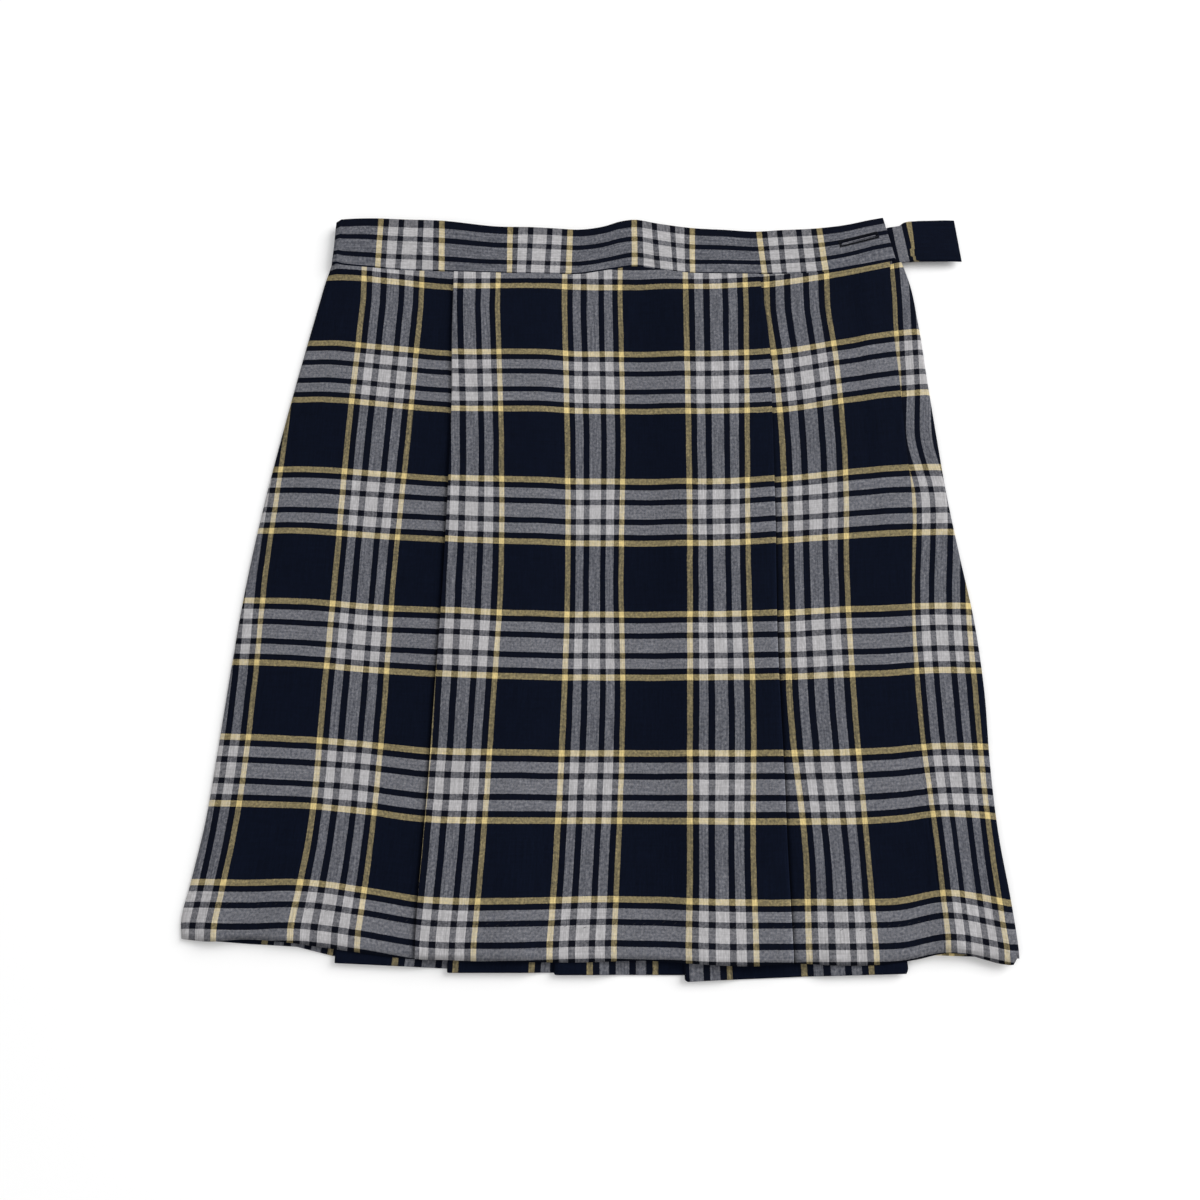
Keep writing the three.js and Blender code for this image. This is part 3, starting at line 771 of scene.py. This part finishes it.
def band_section(height, half):
    """Points round the folded strip, from the outer face over the top fold to the inner face and round the
    lower edge: distance below the top fold, and distance out of the strip's middle."""
    face = height - 2 * half
    section = []
    for i in range(FACE_STEPS):
        section.append((height - half - face * i / FACE_STEPS, half))
    for i in range(TOP_STEPS):
        angle = math.pi * i / TOP_STEPS
        section.append((half * (1 - math.sin(angle)), half * math.cos(angle)))
    for i in range(FACE_STEPS):
        section.append((half + face * i / FACE_STEPS, -half))
    for i in range(LOW_STEPS + 1):
        angle = math.pi * i / LOW_STEPS
        section.append((height - half + half * math.sin(angle), -half * math.cos(angle)))
    return section


def face_yarn(x, share):
    """The warp yarn on the waistband's outer face at a share of its height."""
    at, *lines = zip(*BAND_INKS)
    top, upper, lower = (float(np.interp(x, at, line)) for line in lines)
    edges = [0, top, upper - INK_HALF, upper + INK_HALF, lower - INK_HALF, lower + INK_HALF, 1]
    return float(np.interp(share, edges, INK_YARNS))


def waistband():
    """The folded strip as a flat closed tube, with rounded ends."""
    spots, points = resample(band_stations(), BAND_STEP)
    weft_along = band_anchor(spots, points)
    flat_ring = band_section(BAND_HEIGHT, BAND / 2)
    rings = []
    for i, (top, low) in enumerate(points):
        before, after = points[max(i - 1, 0)][0], points[min(i + 1, len(points) - 1)][0]
        ahead = (after - before).normalized()
        out = Vector((ahead.z, 0, -ahead.x)).normalized()
        end = min(spots[i], spots[-1] - spots[i], BAND / 2) / (BAND / 2)
        half = BAND / 2 * math.sqrt(max(1 - (1 - end) ** 2, 0))
        down = (low - top).normalized()
        height = (low - top).length
        ring = []
        for (below, offset), (flat_below, flat_offset) in zip(band_section(height, half), flat_ring):
            ripple = noise.noise(Vector((spots[i] / 23, flat_below / 14, flat_offset * 2))) * RIPPLE
            fade = min(smoothstep(flat_below, 0, 5), smoothstep(BAND_HEIGHT - flat_below, 0, 5), end)
            ring.append(top + down * below + out * (offset + ripple * fade))
        rings.append(ring)
    lengths = [0.0]
    for a, b in zip(flat_ring, flat_ring[1:]):
        lengths.append(lengths[-1] + math.dist(a, b))
    fold = lengths[FACE_STEPS + TOP_STEPS // 2]

    def place(column, row):
        x, y, z = rings[column][row]
        share = flat_ring[row][0] / BAND_HEIGHT
        slant = TAB_SLANT * share * smoothstep(x, 170, 186) * (1 if z < BAND_FRONT - 0.6 else 0)
        over = lengths[row] - fold
        yarn = face_yarn(x, share) if over <= 0 else FACING_PLACE - over
        return to_frame(x, y, z), (yarn * MM, (weft_along(spots[column]) - slant) * MM), 0.0

    return flat_sheet("band_cloth", len(points), len(flat_ring), place)


band = waistband()


# Threads and button


def add_stitch(bm, start, end, radius):
    """One short thread between two points of the tables, as a slim rounded body."""
    a, b = Vector(start), Vector(end)
    along = b - a
    turn = along.to_track_quat("Z", "Y").to_matrix().to_4x4()
    slim = Matrix.Diagonal((radius * MM, radius * MM, (along.length / 2 + radius) * MM, 1))
    middle = Matrix.Translation(to_frame(*((a + b) / 2)))
    bmesh.ops.create_uvsphere(bm, u_segments=7, v_segments=5, radius=1.0, matrix=middle @ turn @ slim)


BUTTONHOLE = (145.2, 220.3, 168.6, 226.8)  # both ends on the waistband's outer face
HOLE_HALF = 2.1  # from the slit to the outer ends of its stitches
HOLE_STITCHES = 34  # along each side
HOLE_STITCH_RADIUS = 0.33
HOLE_BAR_START = 0.2  # from the slit to a stitch's inner end, in the bars at its ends
HOLE_STITCH_START = 1.2  # and along its sides
LIP_SHIFT = 0.12  # of each lip from the slit
LIP_RADIUS = 0.22
BAND_FACE = BAND_FRONT + BAND / 2


def buttonhole_stitches():
    """Two dense rows beside the slit and a bar across each end."""
    bm = bmesh.new()
    x0, y0, x1, y1 = BUTTONHOLE
    length = math.hypot(x1 - x0, y1 - y0)
    ahead = Vector(((x1 - x0) / length, (y1 - y0) / length))
    side = Vector((-ahead.y, ahead.x))
    for i in range(HOLE_STITCHES + 1):
        spot = Vector((x0, y0)) + ahead * (length * i / HOLE_STITCHES)
        in_bar = i < 2 or i > HOLE_STITCHES - 2
        near = HOLE_BAR_START if in_bar else HOLE_STITCH_START
        for turn in (-1, 1):
            inner, outer = spot + side * turn * near, spot + side * turn * HOLE_HALF
            add_stitch(bm, (*inner, BAND_FACE + 0.15), (*outer, BAND_FACE + 0.12), HOLE_STITCH_RADIUS)
    return new_piece("buttonhole_stitches", bm)


def slit_lips():
    """The slit's two ironed lips."""
    bm = bmesh.new()
    x0, y0, x1, y1 = BUTTONHOLE
    for shift in (-LIP_SHIFT, LIP_SHIFT):
        ends = [lerp(0.06, 0.94, i / 6) for i in range(7)]
        spots = [(lerp(x0, x1, end), lerp(y0, y1, end) + shift, BAND_FACE) for end in ends]
        for a, b in zip(spots, spots[1:]):
            add_stitch(bm, a, b, LIP_RADIUS)
    return new_piece("buttonhole_slit", bm)


HEM_STITCH_RISE = 18  # above the hem
HEM_STITCH_STEP = 5.2
HEM_STITCH_RADIUS = 0.13
HEM_STITCH_SINK = 0.02  # into the cloth


def hem_stitches():
    """Blind stitches that hold the turned-up hem, one thread of each showing on the front."""
    bm = bmesh.new()
    left_side, left_pleat, right_pleat, side_seam = front_edges(0.95)
    x = left_side + 12
    while x < side_seam - 6:
        on_centre = left_pleat < x < right_pleat
        spread = noise.noise(Vector((x, 4.0, 1.0)))
        y = front_hem(x) + HEM_STITCH_RISE + 2.2 * spread
        ply = FRONT_GROUND + (2 * PLY if on_centre else 0)
        level = ply + CLOTH / 2 + ridge_height(x, y) - HEM_STITCH_SINK
        lean = 0.9 + 0.8 * noise.noise(Vector((x / 2, 9.0, 1.0)))
        add_stitch(bm, (x, y, level), (x + 1.5, y + lean, level), HEM_STITCH_RADIUS)
        x += HEM_STITCH_STEP * (1 + 0.3 * spread)
    return new_piece("hem_stitches", bm)


BUTTON_MIDDLE = (203, 223.8)
BUTTON_RADIUS = 10
BUTTON_THICK = 2.6
BUTTON_EDGE = 0.8  # rounding of its edges
BUTTON_LOW = 0.05  # height of its face over the surface
HOLE_RADIUS = 0.8
HOLE_OFF = 1.35  # of each hole from the button's middle, both ways
BUTTON_HOLES = [(sx * HOLE_OFF, sy * HOLE_OFF) for sx in (-1, 1) for sy in (-1, 1)]
THREAD_REACH = 1.6
THREAD_RADIUS = 0.22
SHANK_RADIUS = 0.3
SHANK_TOP = 3.4


def sewn_button():
    """A four-hole button, face down under the tab: a flat disc with rounded edges."""
    bm = bmesh.new()
    bmesh.ops.create_circle(bm, segments=64, radius=BUTTON_RADIUS * MM)
    for x, y in BUTTON_HOLES:
        spot = Matrix.Translation((x * MM, y * MM, 0))
        bmesh.ops.create_circle(bm, segments=16, radius=HOLE_RADIUS * MM, matrix=spot)
    bmesh.ops.triangle_fill(bm, use_beauty=True, edges=bm.edges[:])
    body = bmesh.ops.extrude_face_region(bm, geom=bm.faces[:])
    raised = [part for part in body["geom"] if isinstance(part, bmesh.types.BMVert)]
    bmesh.ops.translate(bm, verts=raised, vec=(0, 0, BUTTON_THICK * MM))
    bmesh.ops.recalc_face_normals(bm, faces=bm.faces)
    rims = [
        edge
        for edge in bm.edges
        if edge.calc_face_angle(0) > 0.5
        and min(v.co.xy.length for v in edge.verts) > (BUTTON_RADIUS - 1) * MM
    ]
    bmesh.ops.bevel(bm, geom=rims, offset=BUTTON_EDGE * MM, segments=5, affect="EDGES", profile=0.5)
    middle = to_frame(*BUTTON_MIDDLE, BUTTON_LOW)
    bmesh.ops.translate(bm, verts=bm.verts, vec=middle)
    piece = new_piece("sewn_button", bm)
    for face in piece.data.polygons:
        face.use_smooth = abs(face.normal.z) < 0.98
    return piece


def button_threads():
    """The crossed threads through the holes and their shank up to the tab."""
    bm = bmesh.new()
    x, y = BUTTON_MIDDLE
    for side in (-1, 1):
        for shift in (-0.25, 0.25):
            start = (x - THREAD_REACH + shift, y - side * THREAD_REACH, 0.2)
            end = (x + THREAD_REACH + shift, y + side * THREAD_REACH, 0.2)
            add_stitch(bm, start, end, THREAD_RADIUS)
    for dx, dy in BUTTON_HOLES:
        low, high = (x + dx * 0.9, y + dy * 0.9, 0.3), (x + dx * 0.5, y + dy * 0.5, SHANK_TOP)
        add_stitch(bm, low, high, SHANK_RADIUS)
    return new_piece("button_threads", bm)


hole_stitches = buttonhole_stitches()
hole_slit = slit_lips()
blind_stitches = hem_stitches()
button = sewn_button()
threads = button_threads()


# Materials


def new_group(name, inputs, outputs):
    """A shader node group with named sockets, as (kind, name, value)."""
    group = bpy.data.node_groups.new(name, "ShaderNodeTree")
    for kind, label, value in inputs:
        socket = group.interface.new_socket(name=label, in_out="INPUT", socket_type=kind)
        if value is not None:
            socket.default_value = value
    for kind, label in outputs:
        group.interface.new_socket(name=label, in_out="OUTPUT", socket_type=kind)
    enter, leave = group.nodes.new("NodeGroupInput"), group.nodes.new("NodeGroupOutput")
    return group, enter, leave


class Wiring:
    """Adds and links the nodes of one tree."""

    def __init__(self, tree):
        self.tree = tree

    def link(self, value, socket):
        if isinstance(value, bpy.types.NodeSocket):
            self.tree.links.new(value, socket)
        else:
            socket.default_value = value

    def node(self, kind, values=(), **settings):
        made = self.tree.nodes.new(kind)
        for key, value in settings.items():
            setattr(made, key, value)
        for socket, value in zip(made.inputs, values):
            if value is not None:
                self.link(value, socket)
        return made

    def math(self, operation, *values):
        return self.node("ShaderNodeMath", values, operation=operation).outputs[0]

    def mix(self, factor, a, b):
        made = self.node("ShaderNodeMix", data_type="RGBA")
        for name, value in (("Factor", factor), ("A", a), ("B", b)):
            socket = next(s for s in made.inputs if s.name == name and s.enabled)
            self.link(value, socket)
        return next(s for s in made.outputs if s.enabled)

    def scale_colour(self, colour, factor):
        made = self.node("ShaderNodeVectorMath", operation="SCALE")
        self.link(colour, made.inputs[0])
        self.link(factor, made.inputs["Scale"])
        return made.outputs[0]

    def noise(self, place, scale, detail=2.0):
        made = self.node("ShaderNodeTexNoise")
        self.link(place, made.inputs["Vector"])
        made.inputs["Scale"].default_value = scale
        made.inputs["Detail"].default_value = detail
        return made.outputs["Fac"]

    def stretched(self, place, scale):
        made = self.node("ShaderNodeMapping")
        self.link(place, made.inputs["Vector"])
        made.inputs["Scale"].default_value = scale
        return made.outputs["Vector"]


def sett_group(name, widths):
    """The yarn that lies at a place across the sett, as the square root of its light."""
    place_in, yarn_out = ("NodeSocketFloat", "Place", 0.0), ("NodeSocketColor", "Yarn")
    group, enter, leave = new_group(name, [place_in], [yarn_out])
    wiring = Wiring(group)
    repeat = sum(widths)
    turns = wiring.math("DIVIDE", enter.outputs["Place"], repeat * MM)
    ramp = wiring.node("ShaderNodeValToRGB", [wiring.math("FRACT", turns)])
    ramp.color_ramp.interpolation = "CONSTANT"
    stops, start = ramp.color_ramp.elements, 0.0
    while len(stops) < len(SETT):
        stops.new(0.5)
    for stop, stripe, width in zip(stops, SETT, widths):
        stop.position = start / repeat
        stop.color = (*YARNS[stripe[0]], 1)
        start += width
    group.links.new(ramp.outputs["Color"], leave.inputs["Yarn"])
    return group


def twill_group():
    """Diagonal over-and-under of a twill: how much of the weft shows, and the height of the yarns."""
    group, enter, leave = new_group(
        "twill",
        [
            ("NodeSocketVector", "Cloth", None),
            ("NodeSocketFloat", "Pitch", 0.00055),
            ("NodeSocketFloat", "Contrast", 0.3),
        ],
        [("NodeSocketFloat", "Weft Share"), ("NodeSocketFloat", "Height")],
    )
    wiring = Wiring(group)
    axes = wiring.node("ShaderNodeSeparateXYZ", [enter.outputs["Cloth"]])
    across, along = axes.outputs["X"], axes.outputs["Y"]
    turn = wiring.math("DIVIDE", 2 * math.pi, enter.outputs["Pitch"])
    diagonal = wiring.math("SINE", wiring.math("MULTIPLY", wiring.math("ADD", across, along), turn))
    warp_yarns = wiring.math("SINE", wiring.math("MULTIPLY", across, turn))
    weft_yarns = wiring.math("SINE", wiring.math("MULTIPLY", along, turn))
    wave = wiring.math("MULTIPLY", diagonal, enter.outputs["Contrast"])
    share = wiring.math("ADD", wiring.math("MULTIPLY", wave, 0.5), 0.5)
    ribs = wiring.math("MULTIPLY", wiring.math("ADD", warp_yarns, weft_yarns), 0.3)
    height = wiring.math("ADD", ribs, diagonal)
    group.links.new(share, leave.inputs["Weft Share"])
    group.links.new(height, leave.inputs["Height"])
    return group


# Slubs of the warp and the weft: the map's axis, the noise's scale along the map and how strong they are
SLUBS = [("X", (1150.0, 60.0, 1.0), 0.85), ("Y", (60.0, 1150.0, 1.0), 0.45)]
# Noises of the cloth: scale and amount
WANDER = (45.0, 0.0007)  # of the stripes' edges, in metres
JITTER = (900.0, 0.0004)
FLUFF = (700.0, 0.6)  # fibres of one yarn over the other
PATCHES = (16.0, 0.1)
GRAIN = ((1500.0, 420.0, 1.0), 0.3)
WEAVE_CONTRAST = 0.25
WEFT_LEAN = 0.03  # how much more of the weft shows than of the warp
FOLD_SHADE_STRENGTH = 0.35  # how much the painted highlight along the pleats' folds lightens the colour, and the painted shade beside them darkens it
RELIEF = (0.35, 0.00012)  # strength, and depth in metres


def new_material(name, roughness, gloss):
    material = bpy.data.materials.new(name)
    material.use_nodes = True
    shader = material.node_tree.nodes["Principled BSDF"]
    shader.inputs["Roughness"].default_value = roughness
    shader.inputs["Specular IOR Level"].default_value = gloss
    return material, Wiring(material.node_tree), shader


def plaid_material(name, setts, twill):
    """Twill in the plaid, from the piece's own map of the flat cloth."""
    material, wiring, shader = new_material(name, 0.9, 0.05)
    cloth = wiring.node("ShaderNodeUVMap", uv_map="cloth").outputs["UV"]

    def varied(value, amount, middle=0.0):
        """A noise's value, brought to `middle` plus or minus half the amount."""
        centred = wiring.math("MULTIPLY", wiring.math("SUBTRACT", value, 0.5), amount)
        return wiring.math("ADD", centred, middle)

    # The yarns wander a little, so that the lines aren't ruled
    axes = wiring.node("ShaderNodeSeparateXYZ", [cloth])
    wander, jitter = wiring.noise(cloth, WANDER[0]), wiring.noise(cloth, JITTER[0], 1.0)
    shift = wiring.math("ADD", varied(wander, WANDER[1]), varied(jitter, JITTER[1]))
    yarns = []
    for (axis, scale, amount), sett in zip(SLUBS, setts):
        made = wiring.node("ShaderNodeGroup", node_tree=sett)
        wiring.link(wiring.math("ADD", axes.outputs[axis], shift), made.inputs["Place"])
        # Slubs: each yarn is a little lighter and darker along its length
        streak = wiring.noise(wiring.stretched(cloth, scale), 1.0)
        yarns.append(wiring.scale_colour(made.outputs["Yarn"], varied(streak, amount, 1.0)))

    weave = wiring.node("ShaderNodeGroup", node_tree=twill)
    wiring.link(cloth, weave.inputs["Cloth"])
    weave.inputs["Contrast"].default_value = WEAVE_CONTRAST
    fluff = varied(wiring.noise(cloth, FLUFF[0]), FLUFF[1])
    weft_share = wiring.math("ADD", wiring.math("ADD", weave.outputs["Weft Share"], fluff), WEFT_LEAN)
    mixed = wiring.mix(weft_share, yarns[0], yarns[1])
    # Painted highlight along the pleats' fold edges and painted shade beside them, read from the mesh,
    # lighten and darken the yarns
    fold_light_shade = wiring.node("ShaderNodeAttribute", attribute_name="fold_light_shade").outputs["Fac"]
    patches = wiring.noise(cloth, PATCHES[0], 3.0)
    grain = wiring.noise(wiring.stretched(cloth, GRAIN[0]), 1.0, 1.0)
    patchy = wiring.math("ADD", varied(patches, PATCHES[1], 1.0), varied(grain, GRAIN[1]))
    tone = wiring.math("ADD", wiring.math("MULTIPLY", fold_light_shade, FOLD_SHADE_STRENGTH), patchy)
    light = wiring.node("ShaderNodeGamma", [wiring.scale_colour(mixed, tone), 2.0]).outputs[0]
    wiring.link(light, shader.inputs["Base Color"])

    bump = wiring.node("ShaderNodeBump")
    bump.inputs["Strength"].default_value, bump.inputs["Distance"].default_value = RELIEF
    wiring.link(wiring.math("ADD", weave.outputs["Height"], wander), bump.inputs["Height"])
    wiring.link(bump.outputs["Normal"], shader.inputs["Normal"])
    return material


warp_sett = sett_group("warp_sett", [warp for _, warp, _ in SETT])
weft_sett = sett_group("weft_sett", [weft for _, _, weft in SETT])
plaid = plaid_material("plaid_twill", (warp_sett, weft_sett), twill_group())
for piece, node, slot in (
    (front, "front_panel", "plaid_cloth"),
    (back, "back_panel", "plaid_cloth"),
    (band, "waistband", "band_cloth"),
):
    piece.data.materials.append(plaid)
    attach(piece, "root")
    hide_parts(node)


def plain_material(name, colour, roughness, gloss):
    """A plain finish, slightly mottled."""
    material, wiring, shader = new_material(name, roughness, gloss)
    place = wiring.node("ShaderNodeTexCoord").outputs["Object"]
    mottle = wiring.noise(place, 900.0)
    dark = tuple(0.7 * value for value in colour)
    wiring.link(wiring.mix(mottle, (*dark, 1), (*colour, 1)), shader.inputs["Base Color"])
    return material


dark_thread = plain_material("dark_thread", (0.005, 0.006, 0.010), 0.8, 0.1)
pale_thread = plain_material("pale_thread", (0.17, 0.17, 0.19), 0.8, 0.1)
hem_thread = plain_material("hem_thread", (0.03, 0.03, 0.035), 0.8, 0.1)
polyester = plain_material("navy_polyester", (0.012, 0.017, 0.035), 0.35, 0.5)
for piece, material in (
    (hole_stitches, dark_thread),
    (hole_slit, pale_thread),
    (blind_stitches, hem_thread),
    (button, polyester),
    (threads, dark_thread),
):
    piece.data.materials.append(material)
    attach(piece, "root")
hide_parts("button")


# Floor, light and camera


def floor_plane():
    bm = bmesh.new()
    bmesh.ops.create_grid(bm, x_segments=1, y_segments=1, size=3)
    plane = new_piece("floor", bm)
    material, _, shader = new_material("pale_floor", 0.9, 0.0)
    shader.inputs["Base Color"].default_value = (0.96, 0.96, 0.96, 1)
    plane.data.materials.append(material)
    return plane


floor_plane()


def soft_light(name, place, size, power):
    data = bpy.data.lights.new(name, "AREA")
    data.size = size
    data.energy = power
    lamp = add_object(name, data)
    lamp.location = place
    lamp.rotation_euler = (-Vector(place)).to_track_quat("-Z", "Y").to_euler()


soft_light("key_light", (2.8, 1.6, 2.3), 2.8, 130)
soft_light("fill_light", (-1.8, -1.2, 3.4), 3.0, 24)

world = bpy.data.worlds.new("studio")
world.use_nodes = True
sky = world.node_tree.nodes["Background"]
sky.inputs["Color"].default_value = (1, 1, 1, 1)
sky.inputs["Strength"].default_value = 0.58
bpy.context.scene.world = world
bpy.context.scene.view_settings.view_transform = "Standard"

CAMERA_DISTANCE = 680
CAMERA_TILT = math.radians(14)
camera_data = bpy.data.cameras.new("camera")
camera_data.sensor_width = 36
camera_data.lens = 36
camera = add_object("camera", camera_data)
camera.location = to_frame(
    0, -CAMERA_DISTANCE * math.sin(CAMERA_TILT), CAMERA_DISTANCE * math.cos(CAMERA_TILT)
)
camera.rotation_euler = (CAMERA_TILT, 0, 0)
bpy.context.scene.camera = camera
